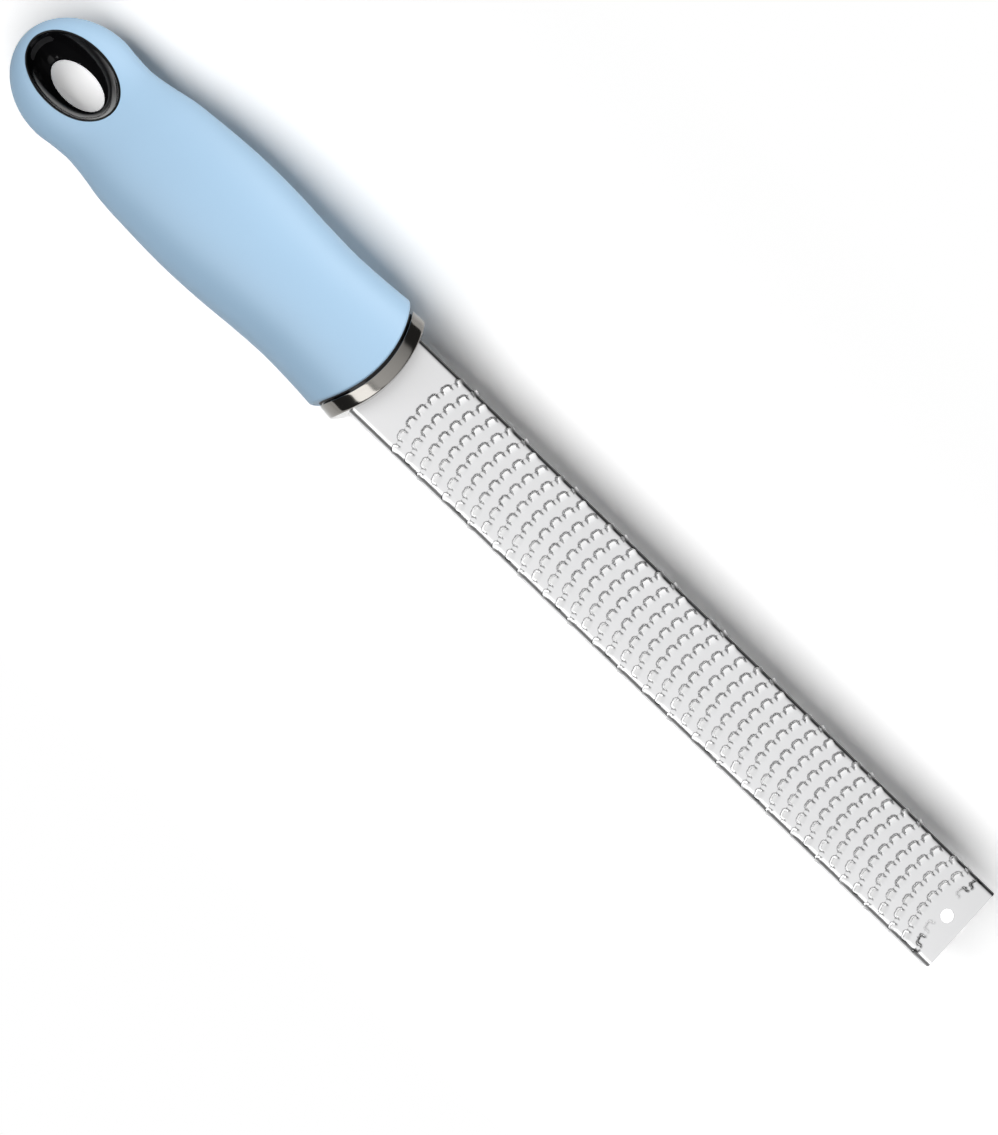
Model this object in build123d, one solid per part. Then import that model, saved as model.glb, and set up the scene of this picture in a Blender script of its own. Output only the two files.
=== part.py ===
from build123d import *

import os
from math import asin, cos, degrees, hypot, radians, sin

# A rasp zester, in millimetres. X runs from the hang end of the handle to the tip of the blade,
# Y across the blade and Z up. The origin lies on the surface that the zester rests on, under the
# middle of its length. Stations are distances from the hang end, measured along X.

# Whole tool
overall_length = 330.0
fit_gap = 0.05
cut_overrun = 5.0

# Handle, outside
grip_length = 123.2
grip_width = 37.4
grip_height = 30.4
front_arc_radius = 29.0
bulb_half_length = 18.9
bulb_half_width = 16.2
bulb_middle_height = 10.8
bulb_rise = 8.1
section_fullness_share = 0.64
bulb_end_exponent = 2.8
bulb_angles = (12, 26, 42, 58, 74, 90)

# Cross-sections in front of the bulb. Each row holds the station as a share of the grip length, the
# half width as a share of half the grip width, and the heights of the top, of the widest point and
# of the belly as shares of the grip height. The belly dips below zero where the flat rest cuts it.
handle_section_shares = (
    (0.195, 0.837, 0.622, 0.362, 0.089),
    (0.238, 0.821, 0.645, 0.375, 0.092),
    (0.276, 0.848, 0.684, 0.395, 0.076),
    (0.341, 0.925, 0.757, 0.424, 0.046),
    (0.430, 0.973, 0.842, 0.461, 0.020),
    (0.528, 1.000, 0.911, 0.493, 0.003),
    (0.633, 0.984, 0.961, 0.516, -0.012),
    (0.731, 0.941, 0.984, 0.533, -0.016),
    (0.804, 0.922, 0.993, 0.539, -0.016),
    (0.877, 0.939, 0.998, 0.546, -0.007),
    (0.942, 0.971, 1.000, 0.549, 0.020),
    (1.060, 1.030, 0.997, 0.553, 0.070),
)

# Soft grip and rigid core
grip_thickness = 1.8
core_wall = 2.0
core_seat_reach = 0.25
rib_thickness = 2.0
rib_stations = (78.0, 106.0)
boss_diameter = 8.0
parting_rise_start = 34.0
parting_rise_end = 68.0

# Front collar
collar_length = 4.3
collar_inset = 1.4
collar_gap = 0.3
spigot_length = 6.0
spigot_wall = 1.2

# Hang eyelet
eyelet_station = 17.2
eyelet_rim_length = 27.8
eyelet_rim_width = 18.7
eyelet_back_rim_length = 23.0
eyelet_back_rim_width = 15.0
eyelet_lip = 0.8
eyelet_throat_length = 16.3
eyelet_throat_width = 9.4
eyelet_throat_height = 9.0
eyelet_wall = 1.3
eyelet_front_seat_height = 12.8
eyelet_back_seat_height = 7.0

# Blade
blade_width = 25.7
blade_depth = 6.5
blade_sheet = 0.3
blade_bend_radius = 1.4
blade_top_height = 20.5
channel_insert = 12.0
tang_length = 44.0
tang_width = 16.0
pin_diameter = 4.0
pin_reach = 4.0
pin_stations = (85.0, 99.0)
tip_hole_diameter = 3.6
tip_hole_setback = 5.3

# Teeth of the rasp
first_row_setback = 8.7
row_pitch = 4.4
row_count = 43
row_arc_radius = 33.0
tooth_pitch = 4.03
tooth_outer_radius = 1.45
tooth_slot_width = 0.5
tooth_rise = 0.4
tooth_root_length = 1.1
tooth_edge_margin = 0.45
row_phase_shares = (0.0, 0.25, -0.25, 0.5)


def along(station):
    """X of a distance measured from the hang end."""
    return station - overall_length / 2


collar_front = grip_length + collar_gap + collar_length
front_arc_x = along(grip_length - front_arc_radius)
tang_bottom = blade_top_height - blade_sheet
channel_start = collar_front - channel_insert
reach = grip_width + cut_overrun


def quarter(x, half_width, side, height, from_side):
    """A quarter of a cross-section, between its widest point and its top or belly."""
    full = section_fullness_share
    points = [
        (x, half_width, side),
        (x, half_width, side + full * (height - side)),
        (x, full * half_width, height),
        (x, 0, height),
    ]
    return Bezier(*points) if from_side else Bezier(*reversed(points))


def cross_section(station, half_width, top, side, bottom):
    x = along(station)
    return Wire([
        quarter(x, half_width, side, top, True),
        quarter(x, -half_width, side, top, False),
        quarter(x, -half_width, side, bottom, True),
        quarter(x, half_width, side, bottom, False),
    ])


def handle_form(inset):
    """The closed form of the handle, moved inwards by inset, from the bulb to past the collar."""
    half_length = bulb_half_length - inset
    half_width = bulb_half_width - inset
    rise = bulb_rise - inset
    rings = [Vertex(along(bulb_half_length - half_length), 0, bulb_middle_height)]
    for angle in bulb_angles:
        back = cos(radians(angle))
        height = rise * (1 - back**bulb_end_exponent) ** (1 / bulb_end_exponent)
        rings.append(cross_section(
            bulb_half_length - half_length * back,
            half_width * sin(radians(angle)),
            bulb_middle_height + height,
            bulb_middle_height,
            bulb_middle_height - height,
        ))
    for station, width, top, side, bottom in handle_section_shares:
        rings.append(cross_section(
            station * grip_length,
            width * grip_width / 2 - inset,
            top * grip_height - inset,
            side * grip_height,
            bottom * grip_height + inset,
        ))
    form = Solid.make_loft(rings, False)
    return form & standing_block(inset)


def standing_block(floor):
    """All the space above the flat that the belly rests on."""
    block = Box(2 * overall_length, 2 * reach, 2 * reach, align=(Align.CENTER, Align.CENTER, Align.MIN))
    return Pos(0, 0, floor) * block


def behind_front(radius):
    """The space behind an upright cylinder that gives the front edges their curve in plan."""
    tall = 2 * reach
    rear = along(-cut_overrun)
    block = Box(front_arc_x - rear, 2 * reach, tall, align=(Align.MIN, Align.CENTER, Align.CENTER))
    return Pos(rear, 0, 0) * block + Pos(front_arc_x, 0, 0) * Cylinder(radius, tall)


def oval(length, width, height):
    """An upright ellipse on the eyelet's axis."""
    return Pos(along(eyelet_station), 0, height) * Ellipse(length / 2, width / 2)


def oval_post(length, width, low, high):
    return extrude(oval(length, width, low), high - low, dir=(0, 0, 1))


def funnel(rim_length, rim_width, rim_height, grow):
    """The eyelet's inside from its throat to past a rim, widened by grow."""
    stretch = cut_overrun / abs(rim_height - eyelet_throat_height)
    far = rim_height + stretch * (rim_height - eyelet_throat_height)
    far_length = rim_length + stretch * (rim_length - eyelet_throat_length)
    far_width = rim_width + stretch * (rim_width - eyelet_throat_width)
    low = oval(eyelet_throat_length + 2 * grow, eyelet_throat_width + 2 * grow, eyelet_throat_height)
    high = oval(far_length + 2 * grow, far_width + 2 * grow, far)
    return loft([low, high], ruled=True)


def parting_zone(below):
    """The space below or above the joint of the two core halves, which climbs to the tang."""
    start = (along(-cut_overrun), 0, bulb_middle_height)
    foot = (along(parting_rise_start), 0, bulb_middle_height)
    head = (along(parting_rise_end), 0, tang_bottom)
    end = (along(collar_front + cut_overrun), 0, tang_bottom)
    middle = (foot[0] + head[0]) / 2
    climb = Bezier(foot, (middle, 0, foot[2]), (middle, 0, head[2]), head)
    far = -reach if below else reach
    outline = Wire([
        Line(start, foot),
        climb,
        Line(head, end),
        Line(end, (end[0], 0, far)),
        Line((end[0], 0, far), (start[0], 0, far)),
        Line((start[0], 0, far), start),
    ])
    return extrude(Face(outline), reach, dir=(0, 1, 0), both=True)


def channel(start_station, grow):
    """The bent sheet from a station to the blade's tip, thickened by grow on both faces."""
    x = along(start_station)
    top = blade_top_height + grow
    hollow_top = tang_bottom - grow
    bottom = blade_top_height - blade_depth
    outer = Rectangle(blade_width + 2 * grow, top - bottom + grow, align=(Align.CENTER, Align.MAX))
    outer = Pos(0, top) * outer
    outer = fillet(outer.vertices().group_by(Axis.Y)[-1], blade_bend_radius + grow)
    inner_width = blade_width - 2 * blade_sheet - 2 * grow
    inner = Rectangle(inner_width, 2 * blade_depth, align=(Align.CENTER, Align.MAX))
    inner = Pos(0, hollow_top) * inner
    inner = fillet(inner.vertices().group_by(Axis.Y)[-1], blade_bend_radius - blade_sheet - grow)
    profile = Plane((x, 0, 0), x_dir=(0, 1, 0), z_dir=(1, 0, 0)) * (outer - inner)
    return extrude(profile, overall_length - start_station, dir=(1, 0, 0))


def tang(grow):
    """The flat tongue behind the channel, as it lies between the core halves."""
    length = tang_length + cut_overrun
    plate = Box(
        length + grow,
        tang_width + 2 * grow,
        blade_sheet + 2 * grow,
        align=(Align.MAX, Align.CENTER, Align.MIN),
    )
    return Pos(along(channel_start + cut_overrun), 0, tang_bottom - grow) * plate


def upright_pins(diameter, low, high):
    """One upright cylinder at each pin station."""
    posts = []
    for station in pin_stations:
        post = Cylinder(diameter / 2, high - low, align=(Align.CENTER, Align.CENTER, Align.MIN))
        posts.append(Pos(along(station), 0, low) * post)
    return posts


def tooth_places():
    """Where each tooth stands: the crown of its cutting edge, turned to its row's arc."""
    places = []
    widest = blade_width / 2 + tooth_edge_margin - tooth_outer_radius
    tip_clear = tip_hole_diameter / 2 + 2 * tooth_outer_radius
    hole_x = along(overall_length - tip_hole_setback)
    for row in range(row_count):
        crown_x = along(collar_front + first_row_setback + row * row_pitch)
        phase = row_phase_shares[row % len(row_phase_shares)] * tooth_pitch
        reach_count = int(widest / tooth_pitch) + 1
        for step in range(-reach_count, reach_count + 1):
            y = phase + step * tooth_pitch
            if abs(y) > widest:
                continue
            turn = asin(y / row_arc_radius)
            x = crown_x + row_arc_radius * (1 - cos(turn))
            if hypot(x + tooth_outer_radius - hole_x, y) < tip_clear:
                continue
            if x + tooth_outer_radius + tooth_root_length > along(overall_length):
                continue
            places.append(Pos(x, y, blade_top_height) * Rot(0, 0, -degrees(turn)))
    return places


def half_ring():
    """The slot round one tooth: half a ring, open towards the tip."""
    outer = tooth_outer_radius
    inner = outer - tooth_slot_width
    outline = Wire([
        ThreePointArc((outer, outer), (0, 0), (outer, -outer)),
        Line((outer, -outer), (outer, -inner)),
        ThreePointArc((outer, -inner), (tooth_slot_width, 0), (outer, inner)),
        Line((outer, inner), (outer, outer)),
    ])
    sheet = extrude(Face(outline), blade_bend_radius + cut_overrun, dir=(0, 0, 1))
    return Pos(0, 0, -blade_bend_radius) * sheet


def raised_tongue():
    """The tongue inside the slot, lifted into a ramp whose high end is the cutting edge."""
    inner = tooth_outer_radius - tooth_slot_width
    length = inner + tooth_root_length
    root = tooth_slot_width + length
    sink = blade_sheet / 2
    ramp = Wire([
        Line((tooth_slot_width, 0, -sink), (tooth_slot_width, 0, tooth_rise)),
        Line((tooth_slot_width, 0, tooth_rise), (root, 0, 0)),
        Line((root, 0, 0), (root, 0, -sink)),
        Line((root, 0, -sink), (tooth_slot_width, 0, -sink)),
    ])
    wedge = extrude(Face(ramp), inner, dir=(0, 1, 0), both=True)
    disc = Pos(tooth_outer_radius, 0, 0) * Cylinder(inner, 2 * cut_overrun)
    tail = Box(length, 2 * inner, 2 * cut_overrun, align=(Align.MIN, Align.CENTER, Align.CENTER))
    return wedge & (disc + Pos(tooth_outer_radius, 0, 0) * tail)


def make_blade():
    places = tooth_places()
    slot = half_ring()
    slots = [place * slot for place in places]
    hole = Cylinder(tip_hole_diameter / 2, 2 * cut_overrun)
    slots.append(Pos(along(overall_length - tip_hole_setback), 0, blade_top_height) * hole)
    slots += upright_pins(pin_diameter, tang_bottom - cut_overrun, blade_top_height + cut_overrun)
    flat_half_width = blade_width / 2 - blade_bend_radius
    tongue = raised_tongue()
    tongues = [
        place * tongue
        for place in places
        if abs(place.position.Y) + tooth_outer_radius < flat_half_width
    ]
    sheet = channel(channel_start, 0) + tang(0)
    return sheet - slots + tongues


def make_pins():
    diameter = pin_diameter - 2 * fit_gap
    return Compound(upright_pins(diameter, tang_bottom - pin_reach, blade_top_height + pin_reach))


def eyelet_front_window(grow):
    length = eyelet_rim_length + 2 * grow
    width = eyelet_rim_width + 2 * grow
    return oval_post(length, width, eyelet_front_seat_height - grow, grip_height)


def eyelet_back_window(grow):
    length = eyelet_back_rim_length + 2 * grow
    width = eyelet_back_rim_width + 2 * grow
    return oval_post(length, width, -cut_overrun, eyelet_back_seat_height + grow)


def front_funnel(grow):
    """The hang hole above its throat, as wide as the rim less its lip where the handle is highest."""
    top = bulb_middle_height + bulb_rise
    return funnel(eyelet_rim_length - 2 * eyelet_lip, eyelet_rim_width - 2 * eyelet_lip, top, grow)


def back_funnel(grow):
    """The hang hole below its throat."""
    bottom = bulb_middle_height - bulb_rise
    length = eyelet_back_rim_length - 2 * eyelet_lip
    return funnel(length, eyelet_back_rim_width - 2 * eyelet_lip, bottom, grow)


def make_grip_sleeve(outside, core_outside):
    skin = (outside & behind_front(front_arc_radius)) - core_outside
    return skin - eyelet_front_window(fit_gap) - eyelet_back_window(fit_gap)


def make_eyelet(outside, window, seat_form, inner, outer):
    """A flange as thick as the grip, and below it the wall of the funnel."""
    flange = (outside - seat_form) & window
    barrel = outer & seat_form
    return flange + barrel - inner


def make_core_half(core_outside, hollow, below):
    seat = behind_front(front_arc_radius + core_seat_reach)
    inside = core_outside & seat
    ribs = []
    for station in rib_stations:
        ribs.append(Pos(along(station), 0, 0) * Box(rib_thickness, 2 * reach, 2 * reach))
    ribs += upright_pins(boss_diameter, 0, grip_height)
    stiffeners = [rib & inside for rib in ribs]
    half = (inside - hollow + stiffeners) & parting_zone(below)
    half = half - tang(fit_gap) - front_funnel(eyelet_wall + fit_gap) - back_funnel(eyelet_wall + fit_gap)
    reach_down = tang_bottom - pin_reach - fit_gap
    reach_up = blade_top_height + pin_reach + fit_gap
    return half - upright_pins(pin_diameter, reach_down, reach_up)


def make_front_collar(spigot_outside, spigot_inside):
    nose = handle_form(collar_inset) & behind_front(front_arc_radius + collar_gap + collar_length)
    nose = nose - behind_front(front_arc_radius + core_seat_reach + fit_gap)
    spigot_start = grip_length - spigot_length - front_arc_radius
    corner = front_arc_radius + collar_gap + collar_length / 2
    spigot = (spigot_outside - spigot_inside) & behind_front(corner)
    spigot = spigot - behind_front(front_arc_radius - spigot_length)
    collar = nose + spigot
    slot = channel(spigot_start, fit_gap)
    return collar - slot


outside = handle_form(0)
core_outside = handle_form(grip_thickness)
core_inset = grip_thickness + core_wall
hollow = handle_form(core_inset)

nodes = {
    "blade": make_blade(),
    "tang_pins": make_pins(),
    "grip_sleeve": make_grip_sleeve(outside, core_outside),
    "core_upper": make_core_half(core_outside, hollow, False),
    "core_lower": make_core_half(core_outside, hollow, True),
    "front_collar": make_front_collar(
        handle_form(core_inset + fit_gap),
        handle_form(core_inset + fit_gap + spigot_wall),
    ),
    "eyelet_front": make_eyelet(
        outside,
        eyelet_front_window(0),
        core_outside,
        front_funnel(0),
        front_funnel(eyelet_wall),
    ),
    "eyelet_back": make_eyelet(
        outside,
        eyelet_back_window(0),
        core_outside,
        back_funnel(0),
        back_funnel(eyelet_wall),
    ),
}

os.makedirs("parts", exist_ok=True)
for name, shape in nodes.items():
    export_step(shape, f"parts/{name}.step")
    print(name, len(shape.solids()), round(shape.volume, 1))
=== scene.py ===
# %% [markdown]
# # A rasp zester
# This lesson dresses a kitchen rasp zester: a bent, etched steel blade in a soft light-blue handle.
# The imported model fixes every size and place. Each step below makes one piece, or one finish, and
# says how it could be made and why this way was chosen. All sizes are in metres.

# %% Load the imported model
import math

import bmesh
import bpy
import numpy as np
from mathutils import Matrix, Vector
from mathutils.geometry import delaunay_2d_cdt


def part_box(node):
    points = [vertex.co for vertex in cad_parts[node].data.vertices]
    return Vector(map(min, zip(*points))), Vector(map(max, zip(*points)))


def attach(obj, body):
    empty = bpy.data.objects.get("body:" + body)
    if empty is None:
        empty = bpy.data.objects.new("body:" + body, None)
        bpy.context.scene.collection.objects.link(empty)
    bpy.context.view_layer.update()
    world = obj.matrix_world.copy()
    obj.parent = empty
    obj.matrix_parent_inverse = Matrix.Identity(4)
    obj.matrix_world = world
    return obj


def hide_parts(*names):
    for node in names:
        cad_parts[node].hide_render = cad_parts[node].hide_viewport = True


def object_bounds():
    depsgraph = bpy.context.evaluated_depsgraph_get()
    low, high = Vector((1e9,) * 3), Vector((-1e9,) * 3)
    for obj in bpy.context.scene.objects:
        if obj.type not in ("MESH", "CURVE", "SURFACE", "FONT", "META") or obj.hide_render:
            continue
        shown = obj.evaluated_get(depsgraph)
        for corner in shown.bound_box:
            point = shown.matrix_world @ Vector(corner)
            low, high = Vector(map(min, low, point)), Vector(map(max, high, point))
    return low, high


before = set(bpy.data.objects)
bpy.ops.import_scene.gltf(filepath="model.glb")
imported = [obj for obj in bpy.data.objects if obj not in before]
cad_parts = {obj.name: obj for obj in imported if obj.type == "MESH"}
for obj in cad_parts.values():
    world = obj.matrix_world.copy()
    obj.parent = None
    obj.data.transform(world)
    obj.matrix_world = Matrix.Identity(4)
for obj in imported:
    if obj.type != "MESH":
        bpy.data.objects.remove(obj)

cad_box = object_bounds()
print("pieces in the model:", sorted(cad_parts))
print("its box:", [[round(value, 4) for value in corner] for corner in cad_box])

# %% [markdown]
# ## Sizes read from the frame
# The pieces tell most of the sizes: how long the tool is, how wide the blade is, where the grip
# ends. A station is a distance from the hang end, so x is the station plus the lowest x of all.

# %% Read the main sizes
mm = 0.001
grip_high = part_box("grip_sleeve")[1]
collar_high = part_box("front_collar")[1]
blade_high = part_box("blade")[1]
eyelet_low, eyelet_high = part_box("eyelet_back")

tail_x = cad_box[0][0]
grip_length = grip_high.x - tail_x
collar_front = collar_high.x - tail_x
tool_length = blade_high.x - tail_x
eyelet_station = (eyelet_low.x + eyelet_high.x) / 2 - tail_x
blade_top = 20.5 * mm
tip_hole_setback = 5.3 * mm
tip_hole_radius = 1.8 * mm
print("stations in mm: grip", round(grip_length / mm, 1), "collar", round(collar_front / mm, 1),
      "tip", round(tool_length / mm, 1), "eyelet", round(eyelet_station / mm, 1))

# %% [markdown]
# ## Node arithmetic in plain Python
# A texture or a geometry rule is often a sum of many Math nodes. Wiring them one by one is hard to
# read, so a small class wraps a socket and turns each Python operator into one Math node.

# %% Wrap sockets so that they add up
class Value:
    """A number socket that can be used in Python sums."""

    def __init__(self, web, socket):
        self.web = web
        self.socket = socket

    def __add__(self, other):
        return self.web.maths("ADD", self, other)

    def __sub__(self, other):
        return self.web.maths("SUBTRACT", self, other)

    def __rsub__(self, other):
        return self.web.maths("SUBTRACT", other, self)

    def __mul__(self, other):
        return self.web.maths("MULTIPLY", self, other)

    def __truediv__(self, other):
        return self.web.maths("DIVIDE", self, other)

    def __neg__(self):
        return self.web.maths("MULTIPLY", self, -1.0)

    __radd__ = __add__
    __rmul__ = __mul__


class Web:
    """A node tree with one method that adds any node."""

    def __init__(self, tree):
        self.tree = tree

    def node(self, kind, settings=None, inputs=None):
        made = self.tree.nodes.new(kind)
        for name, value in (settings or {}).items():
            setattr(made, name, value)
        for name, value in (inputs or {}).items():
            self.feed(made.inputs[name], value)
        return made

    def feed(self, socket, value):
        if isinstance(value, Value):
            value = value.socket
        if isinstance(value, bpy.types.NodeSocket):
            self.tree.links.new(value, socket)
        else:
            socket.default_value = value

    def maths(self, operation, *values):
        made = self.node("ShaderNodeMath", {"operation": operation}, dict(enumerate(values)))
        return Value(self, made.outputs[0])

    def value(self, socket):
        return Value(self, socket)

    def clamp(self, value, low=0.0, high=1.0):
        return self.maths("MINIMUM", self.maths("MAXIMUM", value, low), high)

    def same(self, a, b):
        return self.maths("COMPARE", a, b, 0.25)


print("sockets can now be added, multiplied and clamped")

# %% [markdown]
# ## The camera
# The picture is taken from nearly straight above, with the tool lying from the upper left to the
# lower right. A camera on a stand rarely points exactly down, and the rows of teeth tell how far it
# is off: they lie a little closer together towards the tip. So the camera is turned about its own
# axis first, then tipped a few degrees towards the tip and towards the far side.

# %% Place the camera
camera_data = bpy.data.cameras.new("camera")
camera_data.sensor_width = 36.0
camera_data.lens = 69.43
camera_data.clip_start = 0.01
camera = bpy.data.objects.new("camera", camera_data)
bpy.context.scene.collection.objects.link(camera)
picture_turn = Matrix.Rotation(math.radians(43.578), 3, "Z")
tip_over = Matrix.Rotation(math.radians(-2.94), 3, "Y") @ Matrix.Rotation(math.radians(5.0), 3, "X")
camera.location = (-13.7 * mm, -63.4 * mm, 570.5 * mm)
camera.rotation_euler = (tip_over @ picture_turn).to_euler()
bpy.context.scene.camera = camera
bpy.context.scene.view_settings.view_transform = "Standard"
print("lens", round(camera_data.lens, 1), "mm,",
      round(camera.location.z - blade_top, 3), "m above the blade")

# %% [markdown]
# ## Studio light and floor
# How bright the grip is on each side, and how fast its shadow fades, tell where the lights stood. One
# soft box leans in from the near side and throws the shadow. The far flank of the grip is bright too,
# while the shadow beside it stays deep, so a reflector on the far side lights the grip alone. Polished
# and satin steel mirror a pale ceiling that fades away from the soft box, and a dark room beside it.

# %% Hang the two panels
def hang_panel(name, tilt, across, length, radiance):
    """An area light a metre away, tilted about the tool's length, as bright as the radiance says."""
    data = bpy.data.lights.new(name, "AREA")
    data.shape = "RECTANGLE"
    data.size = length
    data.size_y = across
    data.energy = radiance * math.pi * length * across
    panel = bpy.data.objects.new(name, data)
    bpy.context.scene.collection.objects.link(panel)
    angle = math.radians(tilt)
    panel.location = (0, math.sin(angle), math.cos(angle))
    panel.rotation_euler = (-angle, 0, 0)
    return panel


key_panel = hang_panel("key_panel", -27, 0.48, 2.0, 3.5)
grip_panel = hang_panel("grip_panel", 59, 0.6, 1.0, 4.9)
print("panels:", [panel.name for panel in (key_panel, grip_panel)])

# %% Colour the world
room_glow = 0.05
ceiling_middle, ceiling_half_width, ceiling_edge = 0.32, 0.62, 5
ceiling_light, ceiling_fade = 1.13, 0.75
least_height = 0.02
world = bpy.data.worlds.new("studio")
world.use_nodes = True
bpy.context.scene.world = world
web = Web(world.node_tree)
world.node_tree.nodes.clear()
ray = web.node("ShaderNodeLightPath")
seen = web.maths("MAXIMUM", web.value(ray.outputs["Is Camera Ray"]),
                 web.value(ray.outputs["Is Transmission Ray"]))
mirrored = web.value(ray.outputs["Is Glossy Ray"]) * (1 - seen)
heading = web.node("ShaderNodeTexCoord").outputs["Generated"]
facing = web.node("ShaderNodeSeparateXYZ", None, {0: heading})
height = web.maths("MAXIMUM", web.value(facing.outputs["Z"]), least_height)
sideways = web.value(facing.outputs["Y"]) / height
from_middle = web.maths("ABSOLUTE", sideways - ceiling_middle)
ceiling = web.clamp((ceiling_half_width - from_middle) * ceiling_edge)
ceiling = ceiling * (ceiling_light - sideways * ceiling_fade)
strength = seen + (1 - seen) * room_glow + mirrored * ceiling
sky = web.node("ShaderNodeBackground", None, {"Color": (1, 1, 1, 1), "Strength": strength})
web.node("ShaderNodeOutputWorld", None, {"Surface": sky.outputs[0]})
print("world ready")

# %% Lay the floor, which keeps the shadow near the tool and turns plain white away from it
floor_mesh = bpy.data.meshes.new("floor")
reach = 3.0
shadow_half_length, shadow_half_width, shadow_fade = 0.2, 0.05, 0.07
dull_grey, clean_grey = 0.2, 1.7
corners = [(-reach, -reach, 0), (reach, -reach, 0), (reach, reach, 0), (-reach, reach, 0)]
floor_mesh.from_pydata(corners, [], [(0, 1, 2, 3)])
floor = bpy.data.objects.new("floor", floor_mesh)
bpy.context.scene.collection.objects.link(floor)
floor_paint = bpy.data.materials.new("floor_paint")
floor_paint.use_nodes = True
floor_paint.node_tree.nodes.clear()
web = Web(floor_paint.node_tree)
ray = web.node("ShaderNodeLightPath")
seen = web.clamp(web.value(ray.outputs["Is Camera Ray"]) + web.value(ray.outputs["Is Glossy Ray"])
                 + web.value(ray.outputs["Is Transmission Ray"]))
dull = web.node("ShaderNodeBsdfDiffuse", None, {"Color": (dull_grey,) * 3 + (1,)})
clean = web.node("ShaderNodeBsdfDiffuse", None, {"Color": (clean_grey,) * 3 + (1,)})
white = web.node("ShaderNodeEmission", None, {"Color": (1, 1, 1, 1)})
on_floor = web.node("ShaderNodeTexCoord").outputs["Object"]
spot = web.node("ShaderNodeSeparateXYZ", None, {0: on_floor})
beside = web.maths("ABSOLUTE", web.value(spot.outputs["Y"])) - shadow_half_width
beyond = web.maths("ABSOLUTE", web.value(spot.outputs["X"])) - shadow_half_length
far = web.clamp(web.maths("MAXIMUM", beside, beyond) / shadow_fade)
faded = web.node("ShaderNodeMixShader", None, {0: far, 1: clean.outputs[0], 2: white.outputs[0]})
either = web.node("ShaderNodeMixShader", None, {0: seen, 1: dull.outputs[0], 2: faded.outputs[0]})
web.node("ShaderNodeOutputMaterial", None, {"Surface": either.outputs[0]})
floor_mesh.materials.append(floor_paint)
print("floor laid")

# %% Light the floor below the two holes
under_holes = bpy.data.collections.new("lit_through_the_holes")
under_holes.objects.link(floor)


def shine_through(name, hole, radius, power):
    """A narrow beam from the camera's place through a hole. It lights only the floor below it."""
    data = bpy.data.lights.new(name, "SPOT")
    beam = bpy.data.objects.new(name, data)
    bpy.context.scene.collection.objects.link(beam)
    way = Vector(hole) - camera.location
    data.energy = power
    data.shadow_soft_size = 0.001
    data.spot_size = 2 * math.atan(radius / way.length)
    data.spot_blend = 0.2
    beam.location = camera.location
    beam.rotation_euler = way.to_track_quat("-Z", "Y").to_euler()
    beam.light_linking.receiver_collection = under_holes
    return beam


throat_height = 9.0 * mm
eyelet_hole = (tail_x + eyelet_station, 0, throat_height)
tip_hole = (tail_x + tool_length - tip_hole_setback, 0, blade_top)
shine_through("beam_through_the_eyelet", eyelet_hole, 12 * mm, 2.6)
shine_through("beam_through_the_tip", tip_hole, 5.1 * mm, 5)
print("beams aimed")

# %% [markdown]
# ## Finishes
# Each finish is one Principled shader. Noise on object coordinates gives the fine grain that a real
# surface has: it changes colour, roughness and bump a little, and never the constants.

# %% Start a finish
def colour(red, green, blue):
    """A picture colour, 0 to 255, as the light values that a shader works with."""
    values = [v / 255 for v in (red, green, blue)]
    return tuple(v / 12.92 if v <= 0.04045 else ((v + 0.055) / 1.055) ** 2.4 for v in values) + (1,)


def shade(paint, share):
    """A colour made lighter or darker by a share."""
    return tuple(channel * share for channel in paint[:3]) + (1,)


def start_finish(name, constants):
    finish = bpy.data.materials.new(name)
    finish.use_nodes = True
    finish.node_tree.nodes.clear()
    web = Web(finish.node_tree)
    shader = web.node("ShaderNodeBsdfPrincipled", None, constants)
    web.node("ShaderNodeOutputMaterial", None, {"Surface": shader.outputs[0]})
    place = web.node("ShaderNodeTexCoord").outputs["Object"]
    return finish, web, shader, place


def grain(web, place, scale, detail=2.0, stretch=(1, 1, 1)):
    """Noise between 0 and 1. The scale counts its lumps in a metre."""
    turned = web.node("ShaderNodeMapping", None, {"Vector": place, "Scale": stretch})
    noise = web.node("ShaderNodeTexNoise", None,
                     {"Vector": turned.outputs[0], "Scale": scale, "Detail": detail})
    return web.value(noise.outputs[0])


def bump(web, shader, height, distance, strength=1.0):
    made = web.node("ShaderNodeBump", None,
                    {"Height": height, "Distance": distance, "Strength": strength})
    web.feed(shader.inputs["Normal"], made.outputs[0])


def blend_colours(web, share, first, second):
    made = web.node("ShaderNodeMix", {"data_type": "RGBA"}, {0: share, 6: first, 7: second})
    return made.outputs[2]


print("finishes can be mixed")

# %% Soft grip: matt rubber with a fine grain
grip_blue = colour(171, 204, 231)
soft_grip, web, shader, place = start_finish("soft_grip", {"Specular IOR Level": 0.5})
cloud = grain(web, place, 60, 3)
fine = grain(web, place, 3500, 2)
deep_blue, light_blue = shade(grip_blue, 0.985), shade(grip_blue, 1.015)
web.feed(shader.inputs["Base Color"], blend_colours(web, cloud, deep_blue, light_blue))
web.feed(shader.inputs["Roughness"], 0.47 + cloud * 0.05 + fine * 0.05)
bump(web, shader, fine, 0.00003, 0.35)
print("soft_grip")

# %% Eyelet: polished black plastic
eyelet_black, web, shader, place = start_finish("eyelet_black", {"Specular IOR Level": 0.2})
smear = grain(web, place, 180, 3)
deep_black, worn_black = (0.004, 0.004, 0.0045, 1), (0.006, 0.006, 0.0065, 1)
web.feed(shader.inputs["Base Color"], blend_colours(web, smear, deep_black, worn_black))
web.feed(shader.inputs["Roughness"], 0.07 + smear * 0.05)
bump(web, shader, grain(web, place, 300, 1), 0.00002, 0.3)
print("eyelet_black")

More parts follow.
